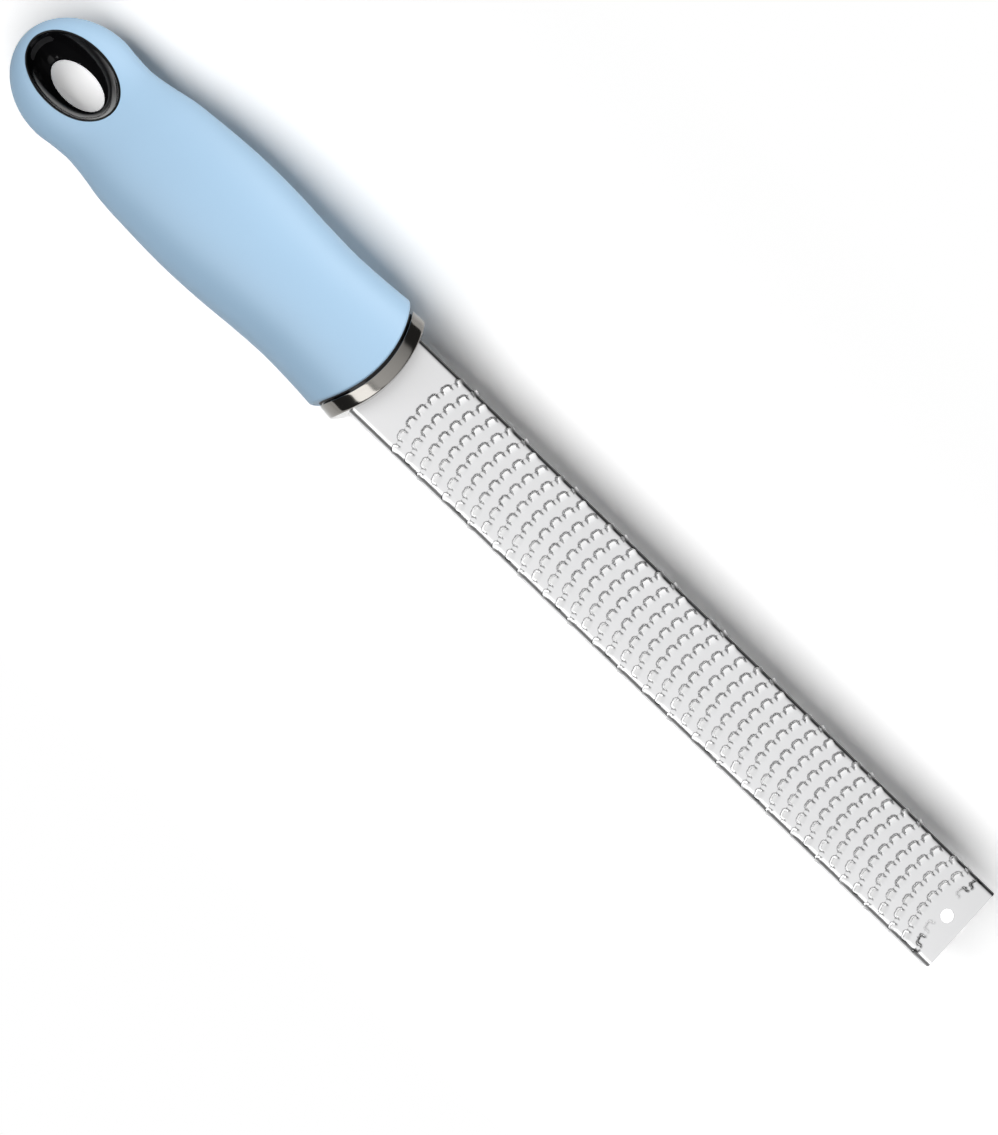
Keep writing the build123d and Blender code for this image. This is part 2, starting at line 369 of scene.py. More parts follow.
# %% Collar: a polished dark metal band
collar_band, web, shader, place = start_finish("collar_band", {"Metallic": 1.0})
smear = grain(web, place, 220, 3, (1, 0.3, 0.3))
deep_metal, light_metal = (0.225, 0.215, 0.20, 1), (0.25, 0.24, 0.225, 1)
web.feed(shader.inputs["Base Color"], blend_colours(web, smear, deep_metal, light_metal))
web.feed(shader.inputs["Roughness"], 0.09 + smear * 0.05)
print("collar_band")

# %% Blade: satin steel, with a painted highlight on the raised teeth, painted shade round the etched slots and painted dark reflection along both bends
blade_satin, web, shader, place = start_finish("blade_satin", {"Metallic": 1.0})
cloud = grain(web, place, 45, 3)
streak = grain(web, place, 2600, 2, (0.06, 1, 1))
# The sheet's colour is darkened along both bends as painted dark reflection, because the dark room that
# the bends mirror is not modelled.
band_depth, band_depth_fade = 1.8 * mm, 0.4 * mm
far_band, far_band_fade, far_band_share = 1.2 * mm, 0.3 * mm, 0.85
near_band, near_band_fade, near_band_share = 0.6 * mm, 0.25 * mm, 0.72
faint_length, faint_half_width, faint_share = 9 * mm, 8.0 * mm, 0.75
split = web.node("ShaderNodeSeparateXYZ", None, {0: place})
along, sideways, upward = (web.value(split.outputs[i]) for i in range(3))
on_bend = web.clamp((upward - blade_top + band_depth) / band_depth_fade)
far_bend_shade = web.clamp((sideways - blade_high.y + far_band) / far_band_fade) * far_band_share
near_bend_shade = web.clamp((-sideways - blade_high.y + near_band) / near_band_fade) * near_band_share
# Near the tip hole the painted shade round the slots is made fainter.
by_tip_hole = web.clamp((along - tail_x - tool_length + faint_length) / (0.2 * mm))
by_tip_hole = by_tip_hole * web.clamp((faint_half_width - web.maths("ABSOLUTE", sideways)) / (0.6 * mm))
raised = web.value(web.node("ShaderNodeAttribute", {"attribute_name": "raised"}).outputs["Fac"])
etch_shade = web.value(web.node("ShaderNodeAttribute", {"attribute_name": "etch_shade"}).outputs["Fac"])
etch_shade = etch_shade * (1 - by_tip_hole * faint_share)
bend_shade = web.maths("MAXIMUM", far_bend_shade, near_bend_shade) * on_bend
sheet = blend_colours(web, cloud, (0.66, 0.66, 0.665, 1), (0.70, 0.70, 0.705, 1))
# Painted dark reflection on both bends.
sheet = blend_colours(web, bend_shade, sheet, (0.04, 0.04, 0.04, 1))
# Painted highlight: the raised tongues are coloured lighter, as if they caught the light.
sheet = blend_colours(web, raised, sheet, (0.84, 0.84, 0.84, 1))
# Painted shade and dark reflection: the etched rims round the slots are coloured nearly black.
sheet = blend_colours(web, etch_shade, sheet, (0.03, 0.03, 0.03, 1))
web.feed(shader.inputs["Base Color"], sheet)
web.feed(shader.inputs["Roughness"], 0.32 + cloud * 0.05 + streak * 0.08)
bump(web, shader, streak, 0.00002, 0.3)
print("blade_satin")

# %% Core and pins: inside parts
core_plastic, web, shader, place = start_finish("core_plastic", {"Specular IOR Level": 0.4})
speck = grain(web, place, 1500, 2)
deep_grey, light_grey = (0.018, 0.018, 0.019, 1), (0.03, 0.03, 0.032, 1)
web.feed(shader.inputs["Base Color"], blend_colours(web, speck, deep_grey, light_grey))
web.feed(shader.inputs["Roughness"], 0.42 + speck * 0.1)
bump(web, shader, speck, 0.00003, 0.3)

pin_steel, web, shader, place = start_finish("pin_steel", {"Metallic": 1.0})
turning = grain(web, place, 900, 2, (0.2, 0.2, 3))
deep_steel, light_steel = (0.55, 0.55, 0.56, 1), (0.65, 0.65, 0.66, 1)
web.feed(shader.inputs["Base Color"], blend_colours(web, turning, deep_steel, light_steel))
web.feed(shader.inputs["Roughness"], 0.28 + turning * 0.12)
inside_parts = {"core_upper": core_plastic, "core_lower": core_plastic, "tang_pins": pin_steel}
for node, finish in inside_parts.items():
    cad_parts[node].data.materials.clear()
    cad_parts[node].data.materials.append(finish)
print("core_plastic and pin_steel")

# %% [markdown]
# ## The handle's form
# Every piece round the handle follows one closed form: a round bulb at the hang end, a waist, and
# a body that widens to the front. It is a stack of cross-sections. Each quarter of a section is one
# Bezier curve between the widest point and the top or the belly, so four numbers describe a section.

# %% Give the sections
grip_width = 37.4 * mm
grip_height = 30.4 * mm
bulb_half_length = 18.9 * mm
bulb_half_width = 16.2 * mm
bulb_middle = 10.8 * mm
bulb_rise = 8.1 * mm
fullness = 0.64
bulb_exponent = 2.8
section_shares = np.array([
    (0.195, 0.837, 0.622, 0.362, 0.089),
    (0.238, 0.821, 0.645, 0.375, 0.092),
    (0.276, 0.848, 0.684, 0.395, 0.076),
    (0.341, 0.925, 0.757, 0.424, 0.046),
    (0.430, 0.973, 0.842, 0.461, 0.020),
    (0.528, 1.000, 0.911, 0.493, 0.003),
    (0.633, 0.984, 0.961, 0.516, -0.012),
    (0.731, 0.941, 0.984, 0.533, -0.016),
    (0.804, 0.922, 0.993, 0.539, -0.016),
    (0.877, 0.939, 0.998, 0.546, -0.007),
    (0.942, 0.971, 1.000, 0.549, 0.020),
    (1.060, 1.030, 0.997, 0.553, 0.070),
])
bulb_end = (bulb_half_length, bulb_half_width,
            bulb_middle + bulb_rise, bulb_middle, bulb_middle - bulb_rise)
unit = np.array((grip_length, grip_width / 2, grip_height, grip_height, grip_height))
knots = np.vstack((bulb_end, section_shares * unit))
print("sections:", len(knots))

# %% Read the form between the sections
slopes = np.gradient(knots[:, 1:], knots[:, 0], axis=0)
slopes[0] = 0


def body_section(station):
    """Half width, top, widest height and belly at each station, on a smooth curve through the knots."""
    at = np.clip(np.searchsorted(knots[:, 0], station) - 1, 0, len(knots) - 2)
    step = (knots[at + 1, 0] - knots[at, 0])[..., None]
    t = ((station - knots[at, 0]) / step[..., 0])[..., None]
    start, end = knots[at, 1:], knots[at + 1, 1:]
    return ((2 * t**3 - 3 * t**2 + 1) * start + (t**3 - 2 * t**2 + t) * step * slopes[at]
            + (3 * t**2 - 2 * t**3) * end + (t**3 - t**2) * step * slopes[at + 1])


def form_section(station, inset):
    """The same four numbers anywhere on the handle's form, moved inwards by the inset."""
    station = np.asarray(station, float)
    width, top, side, belly = np.moveaxis(body_section(np.maximum(station, bulb_half_length)), -1, 0)
    back = np.clip((bulb_half_length - station) / (bulb_half_length - inset), 0, 1)
    lift = (bulb_rise - inset) * (1 - back**bulb_exponent) ** (1 / bulb_exponent)
    bulb = station < bulb_half_length
    width = np.where(bulb, (bulb_half_width - inset) * np.sqrt(1 - back**2), width - inset)
    top = np.where(bulb, bulb_middle + lift, top - inset)
    side = np.where(bulb, bulb_middle, side)
    belly = np.where(bulb, bulb_middle - lift, belly + inset)
    return width, top, side, belly


quarter_t = np.linspace(0, 1, 33)
left = 1 - quarter_t
out_share = left**3 + 3 * left**2 * quarter_t + 3 * fullness * left * quarter_t**2
up_share = 3 * fullness * left**2 * quarter_t + 3 * left * quarter_t**2 + quarter_t**3
ring_out = np.concatenate((out_share[:-1], -out_share[:0:-1], -out_share[:-1], out_share[:0:-1]))
ring_up = np.concatenate((up_share[:-1], up_share[:0:-1], up_share[:-1], up_share[:0:-1]))
ring_is_top = np.arange(len(ring_out)) < len(ring_out) // 2


def form_ring(station, inset, shift):
    """One closed ring on the form. The shift says how far back each point lies for its y."""
    at = np.full(len(ring_out), station)
    for _ in range(5):
        width, top, side, belly = form_section(at, inset)
        y = width * ring_out
        at = station - shift(y)
    z = side + np.where(ring_is_top, top - side, belly - side) * ring_up
    return np.column_stack((tail_x + at, y, np.maximum(z, inset)))


def form_height(x, y, inset, top_side=True):
    """The height of the form's upper or lower surface above a point of the floor."""
    width, top, side, belly = form_section(x - tail_x, inset)
    share = np.interp(np.abs(y) / np.maximum(width, 1e-9), out_share[::-1], up_share[::-1])
    height = side + np.where(top_side, top - side, belly - side) * share
    return np.maximum(height, inset)


print("ring of", len(ring_out), "points")

# %% Turn rings into a mesh
def make_object(name, mesh, finishes):
    for finish in finishes:
        mesh.materials.append(finish)
    made = bpy.data.objects.new(name, mesh)
    bpy.context.scene.collection.objects.link(made)
    return made


def skin_rings(name, rings, closed, poles=()):
    """Quads between neighbouring rings. Closed joins the last ring to the first, poles cap the ends."""
    count = len(rings[0])
    points = [tuple(point) for ring in rings for point in ring]
    faces = []
    last = len(rings) if closed else len(rings) - 1
    for row in range(last):
        here, there = row * count, (row + 1) % len(rings) * count
        for i in range(count):
            j = (i + 1) % count
            faces.append((here + i, here + j, there + j, there + i))
    for pole, row in zip(poles, (0, len(rings) - 1)):
        points.append(tuple(pole))
        for i in range(count):
            pair = (row * count + i, row * count + (i + 1) % count)
            faces.append((pair + (len(points) - 1,)) if row else (pair[::-1] + (len(points) - 1,)))
    mesh = bpy.data.meshes.new(name)
    mesh.from_pydata(points, [], faces)
    face_out(mesh)
    return mesh


def face_out(mesh):
    """Turns a closed mesh the right way round: its volume is positive when faces point outwards."""
    shape = bmesh.new()
    shape.from_mesh(mesh)
    if shape.calc_volume(signed=True) < 0:
        bmesh.ops.reverse_faces(shape, faces=shape.faces)
    shape.to_mesh(mesh)
    shape.free()


def evaluated_mesh(thing, name):
    """The mesh that the object's modifiers give, on its own."""
    bpy.context.view_layer.update()
    graph = bpy.context.evaluated_depsgraph_get()
    mesh = bpy.data.meshes.new_from_object(thing.evaluated_get(graph), depsgraph=graph)
    mesh.name = name
    return mesh


def cut(name, mesh, cutters, finishes):
    """The mesh with the cutters taken out of it, as a finished object."""
    made = make_object(name, mesh, finishes)
    tools = []
    for cutter in cutters:
        tool = make_object(name + "_cutter", cutter, finishes[:1])
        tools.append(tool)
        modifier = made.modifiers.new("cut", "BOOLEAN")
        modifier.operation = "DIFFERENCE"
        modifier.solver = "EXACT"
        modifier.object = tool
    result = evaluated_mesh(made, name)
    bpy.data.objects.remove(made)
    for tool in tools:
        bpy.data.objects.remove(tool)
    done = bpy.data.objects.new(name, result)
    bpy.context.scene.collection.objects.link(done)
    return done


def smooth(thing, angle):
    """Smooth shading with sharp edges where the surface turns by more than the angle."""
    thing.data.shade_smooth()
    thing.data.set_sharp_from_angle(angle=math.radians(angle))
    print(thing.name, len(thing.data.polygons), "faces")


def oval_prism(name, length, width, low, high, count=96):
    """An upright oval post on the eyelet's axis."""
    turn = np.linspace(0, 2 * math.pi, count, endpoint=False)
    x = tail_x + eyelet_station + length / 2 * np.cos(turn)
    flat = np.column_stack((x, width / 2 * np.sin(turn)))
    rings = [np.column_stack((flat, np.full(count, z))) for z in (low, high)]
    centre = (tail_x + eyelet_station, 0)
    return skin_rings(name, rings, False, [centre + (low,), centre + (high,)])


print("mesh helpers ready")

# %% [markdown]
# ## The soft grip
# The real grip is rubber moulded over a hard core: a skin 1.8 mm thick with a rolled front edge that
# curves in plan. It could be a subdivided box, but the sections give the form exactly, so the skin
# is a stack of rings: outside from the hang end to the front, round the lip, and back inside.

# %% Make the grip
front_radius = 29.0 * mm
front_centre = grip_length - front_radius
grip_thickness = 1.8 * mm
lip_radius = 0.7 * mm
bend_start = 92 * mm


def front_sag(y):
    return front_radius - np.sqrt(front_radius**2 - y**2)


def easing(share):
    share = np.clip(share, 0, 1)
    return share * share * (3 - 2 * share)


def grip_ring(station, inset):
    share = easing((station - bend_start) / (grip_length - lip_radius - bend_start))
    return form_ring(station, inset, lambda y: share * front_sag(y))


def skin_stations(inset, step):
    """Stations from the bulb's end to the front: close together where the bulb turns."""
    turns = np.radians(np.linspace(0, 90, 27)[1:])
    bulb = bulb_half_length - (bulb_half_length - inset) * np.cos(turns)
    front = grip_length - lip_radius
    body = np.linspace(bulb_half_length, front, int((front - bulb_half_length) / step))[1:]
    return np.concatenate((bulb, body))


outside = [grip_ring(s, 0) for s in skin_stations(0, 1.2 * mm)]
lip = [grip_ring(grip_length - lip_radius * (1 - math.sin(a)), lip_radius * (1 - math.cos(a)))
       for a in np.radians((18, 36, 54, 72, 90))]
inside = [grip_ring(s, grip_thickness) for s in skin_stations(grip_thickness, 3 * mm)]
rings = outside + lip + [grip_ring(grip_length, grip_thickness)] + inside[::-1]
poles = [(tail_x, 0, bulb_middle), (tail_x + grip_thickness, 0, bulb_middle)]
skin = skin_rings("soft_grip_skin", rings, False, poles)

rim_length, rim_width = 27.8 * mm, 18.7 * mm
back_rim_length, back_rim_width = 23.0 * mm, 15.0 * mm
window_gap = 0.04 * mm
windows = [
    oval_prism("front_window", rim_length + window_gap, rim_width + window_gap,
               bulb_middle, grip_height),
    oval_prism("back_window", back_rim_length + window_gap, back_rim_width + window_gap,
               -5 * mm, bulb_middle - 1 * mm),
]
grip = cut("soft_grip_skin", skin, windows, [soft_grip])
smooth(grip, 40)
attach(grip, "root")
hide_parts("grip_sleeve")
lit_alone = bpy.data.collections.new("lit_by_the_grip_panel")
lit_alone.objects.link(grip)
grip_panel.light_linking.receiver_collection = lit_alone

# %% [markdown]
# ## The hang eyelet
# Two gloss-black funnels meet inside the handle and line the hole. Each is one closed profile carried
# round an oval. The rim follows the curved skin, so its height is read from the handle's form.

# %% Make the two funnels
throat_length, throat_width = 16.3 * mm, 9.4 * mm
throat_shift = 0.5 * mm
eyelet_wall = 1.3 * mm
lip_width = 0.64 * mm
throat_lead = 0.35 * mm
eyelet_points = 128
eyelet_turn = np.linspace(0, 2 * math.pi, eyelet_points, endpoint=False)


def oval_ring(half_length, half_width):
    x = tail_x + eyelet_station + half_length * np.cos(eyelet_turn)
    return x, half_width * np.sin(eyelet_turn)


def funnel_rings(length, width, top_side):
    """The rings of one funnel, from the flange's outer wall over the lip and down to the throat."""
    up = 1 if top_side else -1
    half = np.array((length / 2, width / 2))
    throat = np.array((throat_length / 2, throat_width / 2))

    def on_skin(inward, rise):
        x, y = oval_ring(*(half - inward))
        outline = oval_ring(*half)
        level = form_height(*outline, 0, top_side) * 0.5 + form_height(x, y, 0, top_side) * 0.5
        return np.column_stack((x, y, level + up * rise))

    crown = 0.12 * mm if top_side else -0.1 * mm
    lip = [(0.0, -1.75), (0.0, -0.35), (0.04, -0.12), (0.13, 0.02),
           (0.27, 0.07), (0.41, 0.02), (0.54, -0.12), (0.64, -0.34)]
    rings = [on_skin(inward * mm, rise * mm + (crown if rise > -0.3 else 0)) for inward, rise in lip]
    start = rings[-1]
    for share in np.linspace(0, 1, 15)[1:]:
        bowl = 1 - math.cos(share * math.pi / 2)
        across = 0.55 * share + 0.45 * bowl
        down = 0.55 * share + 0.45 * math.sin(share * math.pi / 2)
        x, y = oval_ring(*(half - lip_width + (throat + throat_lead - half + lip_width) * across))
        x = x + throat_shift * across
        z = start[:, 2] + (throat_height + up * 0.55 * mm - start[:, 2]) * down
        rings.append(np.column_stack((x, y, z)))
    for out, height in ((0.16, 0.38), (0.05, 0.2), (0.0, 0.0)):
        x, y = oval_ring(*(throat + out * mm))
        z = np.full(eyelet_points, throat_height + up * height * mm)
        rings.append(np.column_stack((x + throat_shift, y, z)))
    x, y = oval_ring(*(throat + eyelet_wall))
    rings.append(np.column_stack((x, y, np.full(eyelet_points, throat_height))))
    x, y = oval_ring(*(half - 0.75 * mm))
    z = form_height(*oval_ring(*half), 0, top_side) - up * 1.75 * mm
    rings.append(np.column_stack((x, y, z)))
    return rings


for name, node, length, width, top_side in (
    ("eyelet_upper_funnel", "eyelet_front", rim_length, rim_width, True),
    ("eyelet_lower_funnel", "eyelet_back", back_rim_length, back_rim_width, False),
):
    mesh = skin_rings(name, funnel_rings(length, width, top_side), True)
    funnel = make_object(name, mesh, [eyelet_black])
    smooth(funnel, 50)
    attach(funnel, "root")
    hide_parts(node)

# %% [markdown]
# ## The front collar
# The nose closes the handle round the blade: a polished band, a shallow dark groove behind it and a
# flat front face with a slot in the blade's own shape. The band's rings lie on arcs that run parallel
# to the grip's front edge.

# %% Make the collar
collar_inset = 1.4 * mm
groove_inset = 2.3 * mm
groove_end = grip_length + 0.8 * mm
collar_gap = 0.3 * mm
rear_round = 0.3 * mm
band_round = 0.45 * mm
band_start = groove_end + 0.8 * mm


def arc_ring(station, inset):
    radius = station - front_centre
    return form_ring(station, inset, lambda y: radius - np.sqrt(radius**2 - y**2))


def inward_rings(station, inset, shares):
    """Rings that close an end face: each is the outline drawn in towards the middle."""
    outline = arc_ring(station, inset)
    middle = np.array((0, 16 * mm))
    radius = station - front_centre
    rings = []
    for share in shares:
        flat = middle + (outline[:, 1:] - middle) * share
        x = tail_x + front_centre + np.sqrt(radius**2 - flat[:, 0] ** 2)
        rings.append(np.column_stack((x, flat)))
    return rings, (tail_x + station, 0, middle[1])


rear_station = grip_length + collar_gap
shares = (0.96, 0.85, 0.7, 0.55, 0.4, 0.25, 0.12)
rear_rings, rear_pole = inward_rings(rear_station, groove_inset, shares)
front_rings, front_pole = inward_rings(collar_front, collar_inset + band_round, shares)
quarter_turn = np.radians((0, 22.5, 45, 67.5, 90))
rings = rear_rings[::-1] + [arc_ring(rear_station, groove_inset), arc_ring(groove_end, groove_inset)]
rings += [arc_ring(groove_end, collar_inset + rear_round)]
rings += [arc_ring(groove_end + rear_round * (1 - math.cos(a)),
                   collar_inset + rear_round * (1 - math.sin(a))) for a in quarter_turn[1:]]
rings += [arc_ring(s, collar_inset) for s in np.linspace(band_start, collar_front - band_round, 5)]
rings += [arc_ring(collar_front - band_round * (1 - math.sin(a)),
                   collar_inset + band_round * (1 - math.cos(a))) for a in quarter_turn[1:]]
rings += front_rings
nose = skin_rings("front_nose", rings, False, [rear_pole, front_pole])
print("nose rings:", len(rings))

# %% Cut the blade's slot
sheet_thickness = 0.3 * mm
blade_half_width = blade_high.y
blade_depth = 6.5 * mm
bend_radius = 1.4 * mm
slot_gap = 0.05 * mm
slot_reach_back, slot_reach = 5 * mm, 14 * mm


def channel_outline(half_width, top, bottom, radius):
    """Half of the bent sheet's outline, from its low edge up and round to the middle line."""
    points = [(half_width, bottom)]
    for a in np.radians(np.linspace(0, 90, 7)):
        points.append((half_width - radius * (1 - math.cos(a)), top - radius * (1 - math.sin(a))))
    return points


slot_bottom = blade_top - blade_depth - slot_gap
outer = channel_outline(blade_half_width + slot_gap, blade_top + slot_gap,
                        slot_bottom, bend_radius + slot_gap)
inner = channel_outline(blade_half_width - sheet_thickness - slot_gap,
                        blade_top - sheet_thickness - slot_gap,
                        slot_bottom, bend_radius - sheet_thickness - slot_gap)
outline = [(-y, z) for y, z in outer] + outer[::-1] + inner + [(-y, z) for y, z in inner[::-1]]
slot_mesh = bpy.data.meshes.new("slot")
shape = bmesh.new()
near = [shape.verts.new((tail_x + grip_length - slot_reach_back, y, z)) for y, z in outline]
face = shape.faces.new(near)
pushed = bmesh.ops.extrude_face_region(shape, geom=[face])
far_end = [v for v in pushed["geom"] if isinstance(v, bmesh.types.BMVert)]
bmesh.ops.translate(shape, vec=(slot_reach, 0, 0), verts=far_end)
bmesh.ops.recalc_face_normals(shape, faces=shape.faces)
shape.to_mesh(slot_mesh)
shape.free()
collar = cut("front_nose", nose, [slot_mesh], [collar_band, eyelet_black])
groove_radius = groove_end - front_centre + 0.02 * mm
for face in collar.data.polygons:
    behind = math.hypot(face.center.x - tail_x - front_centre, face.center.y) < groove_radius
    face.material_index = 1 if behind else 0
smooth(collar, 35)
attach(collar, "root")
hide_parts("front_collar")

# %% [markdown]
# ## The etched blade
# The real blade is one thin sheet. Acid cuts C-shaped slots through it, each tongue inside a slot is
# raised into a tooth, and the sheet is bent down at both sides after etching, so teeth run round the
# bends. The steps here are the same: one tile holds one tooth, Geometry Nodes repeat it over the flat
# sheet and bend the result, and a Solidify modifier gives the sheet its thickness.

# %% Draw the tile with one tooth
tile_length = 4.4
tile_width = 4.03
crown_at = 1.25
slot_half_width = 1.33
slot_depth = 1.36
slot_gap_width = 0.42
narrow_gap_width = 0.12
slot_exponent = 4.0
tooth_height = 0.3
ramp_length = 1.5
etched_margin = 0.22
fill_spacing = 0.56
fill_clearance = 0.3
side_steps = 10
end_steps = 12


def arch(half_width, depth, steps):
    """A rounded arch, its crown towards the handle and its feet towards the tip."""
    turn = np.linspace(-math.pi / 2, math.pi / 2, steps + 1)
    across = np.sign(np.sin(turn)) * np.abs(np.sin(turn)) ** (2 / slot_exponent) * half_width
    back = np.abs(np.cos(turn)) ** (2 / slot_exponent) * depth
    return [(crown_at + slot_depth - b, a) for a, b in zip(across, back)]


def inside_arch(point, half_width, depth):
    back = (crown_at + slot_depth - point[0]) / depth
    return back > 0 and (back**slot_exponent + (abs(point[1]) / half_width) ** slot_exponent) < 1


def tooth_lift(point):
    """How high the raised tongue stands at a point of the tile."""
    cutting_edge = crown_at + slot_gap_width
    half_width = slot_half_width - slot_gap_width / 2
    beside_feet = point[0] < crown_at + slot_depth
    if beside_feet and not inside_arch(point, half_width, slot_depth - slot_gap_width / 2):
        return 0
    if abs(point[1]) > half_width:
        return 0
    return tooth_height * max(0, 1 - (point[0] - cutting_edge) / ramp_length)


def grid_mesh(name, length, width, length_steps, width_steps, centred=True):
    """A plain piece of sheet, its middle at zero along the blade."""
    start = -width / 2 if centred else 0
    points = [((i / length_steps - 0.5) * length * mm, (start + j / width_steps * width) * mm, 0)
              for i in range(length_steps + 1) for j in range(width_steps + 1)]
    faces = []
    for i in range(length_steps):
        for j in range(width_steps):
            a = i * (width_steps + 1) + j
            faces.append((a, a + width_steps + 1, a + width_steps + 2, a + 1))
    mesh = bpy.data.meshes.new(name)
    mesh.from_pydata(points, [], faces)
    return mesh


def tooth_mesh(name, raised, gap):
    """One tile: the sheet, the slot and its tongue, marked for painted shade round the slot and where
    it is raised, which is painted lighter.
    """
    border = [(i / side_steps * tile_length, -tile_width / 2) for i in range(side_steps)]
    border += [(tile_length, (j / end_steps - 0.5) * tile_width) for j in range(end_steps)]
    border += [(tile_length * (1 - i / side_steps), tile_width / 2) for i in range(side_steps)]
    border += [(0, (0.5 - j / end_steps) * tile_width) for j in range(end_steps)]
    outer_edge = arch(slot_half_width, slot_depth, 14)
    slot = outer_edge + arch(slot_half_width - gap, slot_depth - gap, 12)[::-1]
    points = border + slot
    fixed = [(i, (i + 1) % len(border)) for i in range(len(border))]
    fixed += [(len(border) + i, len(border) + (i + 1) % len(slot)) for i in range(len(slot))]
    for row, a in enumerate(np.arange(0.4, tile_length - 0.3, fill_spacing * 0.87)):
        first = -tile_width / 2 + 0.3 + row % 2 * fill_spacing / 2
        for b in np.arange(first, tile_width / 2 - 0.25, fill_spacing):
            nearest = min(math.hypot(a - p[0], b - p[1]) for p in border + slot)
            if nearest > fill_clearance:
                points.append((float(a), float(b)))
    rim = arch(slot_half_width + etched_margin, slot_depth + etched_margin, 8)
    rim += arch(slot_half_width - gap - etched_margin, slot_depth - gap - etched_margin, 6)
    points += [p for p in rim if abs(p[1]) < tile_width / 2 - 0.1]
    verts, _, faces, *_ = delaunay_2d_cdt([Vector(p) for p in points], fixed, [], 0, 1e-5)
    kept = []
    for face in faces:
        middle = sum((verts[i] for i in face), Vector((0, 0))) / len(face)
        within_outer = inside_arch(middle, slot_half_width, slot_depth)
        within_inner = inside_arch(middle, slot_half_width - gap, slot_depth - gap)
        if not (within_outer and not within_inner):
            kept.append(tuple(face))
    flat = [((v.x - tile_length / 2) * mm, v.y * mm, (tooth_lift(v) if raised else 0) * mm)
            for v in verts]
    mesh = bpy.data.meshes.new(name)
    mesh.from_pydata(flat, [], kept)
    # This mask marks where shade is painted round the slot: the etched rim, and on a flat tooth the
    # whole narrow slot, which becomes a painted dark stroke.
    etch_shade = mesh.attributes.new("etch_shade", "FLOAT", "POINT")
    # How far the tongue is raised; the blade's colour also uses this for a painted highlight.
    lift_highlight = mesh.attributes.new("raised", "FLOAT", "POINT")
    for i, v in enumerate(verts):
        nearest = min(math.hypot(v.x - p[0], v.y - p[1]) for p in (outer_edge if raised else slot))
        etch_shade.data[i].value = min(1, max(0, (1 if raised else 2) - nearest / etched_margin))
        lift_highlight.data[i].value = tooth_lift(v) / tooth_height if raised else 0
    if mesh.polygons[0].normal.z < 0:
        mesh.flip_normals()
    return mesh


flat_half_width = (blade_half_width - bend_radius) / mm
wrap_half_width = 15 * tile_width / 4
wall_half_width = flat_half_width + (math.pi / 2 * bend_radius + blade_depth - bend_radius) / mm
tiles = {
    "tooth": tooth_mesh("tooth_tile", True, slot_gap_width),
    "flat_tooth": tooth_mesh("flat_tooth_tile", False, narrow_gap_width),
    "blank": grid_mesh("blank_tile", tile_length, tile_width / 4, side_steps, end_steps // 4),
    "wall": grid_mesh("wall_tile", tile_length, wall_half_width - wrap_half_width,
                      side_steps, 4, False),
}
tile_objects = {name: make_object(name + "_tile", mesh, [blade_satin])
                for name, mesh in tiles.items()}
for name, mesh in tiles.items():
    print(name, "tile:", len(mesh.polygons), "faces")

# %% [markdown]
# ## Repeat and bend the tiles
# The lattice counts in quarter tiles, because each row is shifted by a quarter, minus a quarter or
# half a tooth. A cell either starts a tooth, lies inside one, or gets a blank quarter tile. The same
# tree then curves the rows, and wraps the sheet round its two bends.

# %% Build the blade tree
row_count = 43
row_arc_radius = 33 * mm
hidden_length = 12 * mm
first_row_setback = 7.9 * mm
bend_lift_gain = 0.8
tree = bpy.data.node_groups.new("rasp_sheet", "GeometryNodeTree")
tree.interface.new_socket(name="Geometry", in_out="OUTPUT", socket_type="NodeSocketGeometry")
sheet_inputs = {
    "Rows": row_count, "Tile length": tile_length * mm, "Tile width": tile_width * mm,
    "Sheet start": collar_front - hidden_length + tail_x,
    "First row": collar_front + first_row_setback + tail_x,
    "Tip": tool_length + tail_x, "Row radius": row_arc_radius,
    "Flat half width": flat_half_width * mm, "Bend radius": bend_radius, "Top": blade_top,
    "Wrap half width": wrap_half_width * mm, "Lift gain": bend_lift_gain,
}
sheet_sockets = {}
socket_kinds = {name: "Float" for name in sheet_inputs}
socket_kinds.update({name: "Object" for name in ("Tooth", "Flat tooth", "Blank", "Wall")})
socket_kinds["Finish"] = "Material"
for name, kind in socket_kinds.items():
    sheet_sockets[name] = tree.interface.new_socket(
        name=name, in_out="INPUT", socket_type="NodeSocket" + kind)
web = Web(tree)
given = web.node("NodeGroupInput")
number = {name: web.value(given.outputs[name]) for name in sheet_inputs}
cells_across = 30
half_cells = cells_across // 2


def count_points(count):
    """That many points, and a field with their index."""
    made = web.node("GeometryNodePoints", None, {"Count": count})
    return made.outputs[0], web.value(web.node("GeometryNodeInputIndex").outputs[0])


def row_place(row):
    """The middle of a row along the blade, and how much its tiles stretch."""
    rows, length = number["Rows"], number["Tile length"]
    before = web.same(row, -1.0)
    after = web.same(row, rows)
    between = 1 - before - after
    last = number["First row"] + rows * length
    middle = (between * (number["First row"] + (row + 0.5) * length)
              + before * (number["Sheet start"] + number["First row"]) * 0.5
              + after * (last + number["Tip"]) * 0.5)
    stretch = (between + before * (number["First row"] - number["Sheet start"]) / length
               + after * (number["Tip"] - last) / length)
    return middle, stretch


def vector(x=0.0, y=0.0, z=0.0):
    return web.node("ShaderNodeCombineXYZ", None, {0: x, 1: y, 2: z}).outputs[0]


def lay_tiles(points, tile, place, chosen, stretch, turn=0.0):
    """Instances of a tile on the chosen points, moved to their places."""
    moved = web.node("GeometryNodeSetPosition", None, {"Geometry": points, "Position": place})
    source = web.node("GeometryNodeObjectInfo", None,
                      {"Object": given.outputs[tile], "As Instance": True})
    laid = web.node("GeometryNodeInstanceOnPoints", None, {
        "Points": moved.outputs[0], "Selection": chosen, "Instance": source.outputs["Geometry"],
        "Rotation": vector(0.0, 0.0, turn), "Scale": vector(stretch, 1.0, 1.0),
    })
    return laid.outputs[0]


